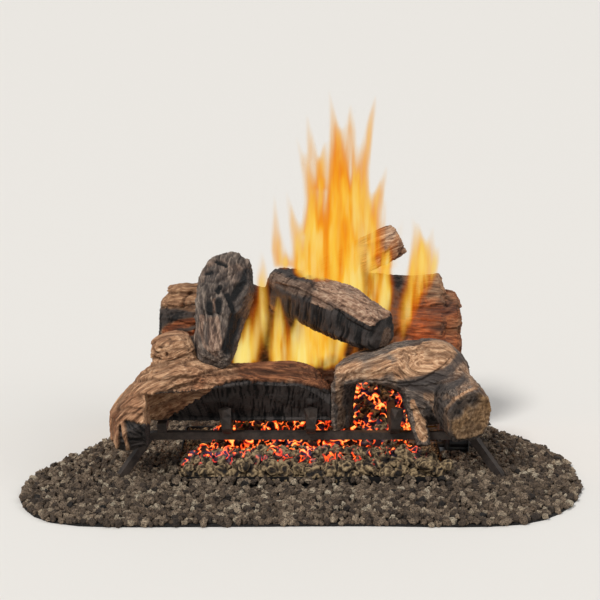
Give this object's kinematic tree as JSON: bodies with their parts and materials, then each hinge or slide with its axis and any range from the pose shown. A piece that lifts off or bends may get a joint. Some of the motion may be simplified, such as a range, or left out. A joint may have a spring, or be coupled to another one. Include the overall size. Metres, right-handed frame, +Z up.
{
  "type": "gas log set",
  "caption": "Vented gas log set: cast ceramic logs stacked on a steel grate over a pan burner with glowing embers, a safety valve at the side and a bed of lava granules.",
  "frame": {"origin": "middle of the granule bed's footprint, at hearth level", "axes": "+X to the right seen from the front, +Y to the rear, +Z up"},
  "size_m": [0.8689, 0.5426, 0.3585],
  "materials": {
    "ceramic_log": "matt painted refractory concrete, tan over brown",
    "charred_log": "matt painted refractory concrete, black char over brown",
    "grate_steel": "heat-resisting black paint, burnt dull",
    "pan_steel": "heat-resisting black paint",
    "burner_steel": "dull, heat-tinted",
    "bracket_steel": "zinc-plated sheet",
    "valve_aluminium": "die-cast, matt",
    "brass": "machined",
    "knob_plastic": "moulded, matt",
    "button_plastic": "moulded, glossy",
    "electrode_ceramic": "glazed white",
    "pan_sand": "loose sand",
    "embers": "rock wool lumps, glowing in places",
    "lava_granules": "rough loose lava rock"
  },
  "bodies": {
    "log_set": {"back_log": "ceramic_log", "front_log_left": "ceramic_log", "front_log_right": "ceramic_log", "grate_bar_1": "grate_steel", "grate_bar_2": "grate_steel", "grate_bar_3": "grate_steel", "grate_bar_4": "grate_steel", "grate_bar_5": "grate_steel", "leg_frame_front": "grate_steel", "leg_frame_rear": "grate_steel", "burner_pan": "pan_steel", "front_burner_tube": "burner_steel", "rear_burner_tube": "burner_steel", "crossover_pipe": "burner_steel", "burner_inlet_pipe": "burner_steel", "tube_bracket_front_left": "burner_steel", "tube_bracket_front_right": "burner_steel", "tube_bracket_rear_left": "burner_steel", "tube_bracket_rear_right": "burner_steel", "pan_sand": "pan_sand", "ember_bed_front": "embers", "ember_bed_rear": "embers", "valve_body": "valve_aluminium", "valve_bracket": "bracket_steel", "igniter_body": "knob_plastic", "heat_shield": "bracket_steel", "gas_inlet_fitting": "brass", "pilot_hood": "brass", "pilot_tube": "valve_aluminium", "thermocouple": "brass", "spark_electrode": "electrode_ceramic", "lava_bed": "lava_granules"},
    "valve_stem": {"valve_stem": "brass"},
    "valve_knob": {"valve_knob": "knob_plastic"},
    "igniter_button": {"igniter_button": "button_plastic"},
    "cross_log_left": {"cross_log_left": "charred_log"},
    "cross_log_right": {"cross_log_right": "charred_log"},
    "top_log": {"top_log": "ceramic_log"}
  },
  "joints": [
    {"name": "knob_push", "type": "slide", "parent": "log_set", "child": "valve_stem", "axis": [-1, 0, 0], "range_m": [0, 0.003], "stiffness_N_per_m": 800},
    {"name": "knob_turn", "type": "hinge", "parent": "valve_stem", "child": "valve_knob", "pos_m": [0.2832, 0.072, 0.0335], "axis": [1, 0, 0], "range_deg": [-180, 0]},
    {"name": "igniter_press", "type": "slide", "parent": "log_set", "child": "igniter_button", "axis": [-1, 0, 0], "range_m": [0, 0.004], "stiffness_N_per_m": 600},
    {"name": "cross_log_left_lift", "type": "slide", "parent": "log_set", "child": "cross_log_left", "axis": [0, 0, 1], "range_m": [0, 0.2]},
    {"name": "cross_log_right_lift", "type": "slide", "parent": "log_set", "child": "cross_log_right", "axis": [0, 0, 1], "range_m": [0, 0.2]},
    {"name": "top_log_lift", "type": "slide", "parent": "log_set", "child": "top_log", "axis": [0, 0, 1], "range_m": [0, 0.2]}
  ]
}
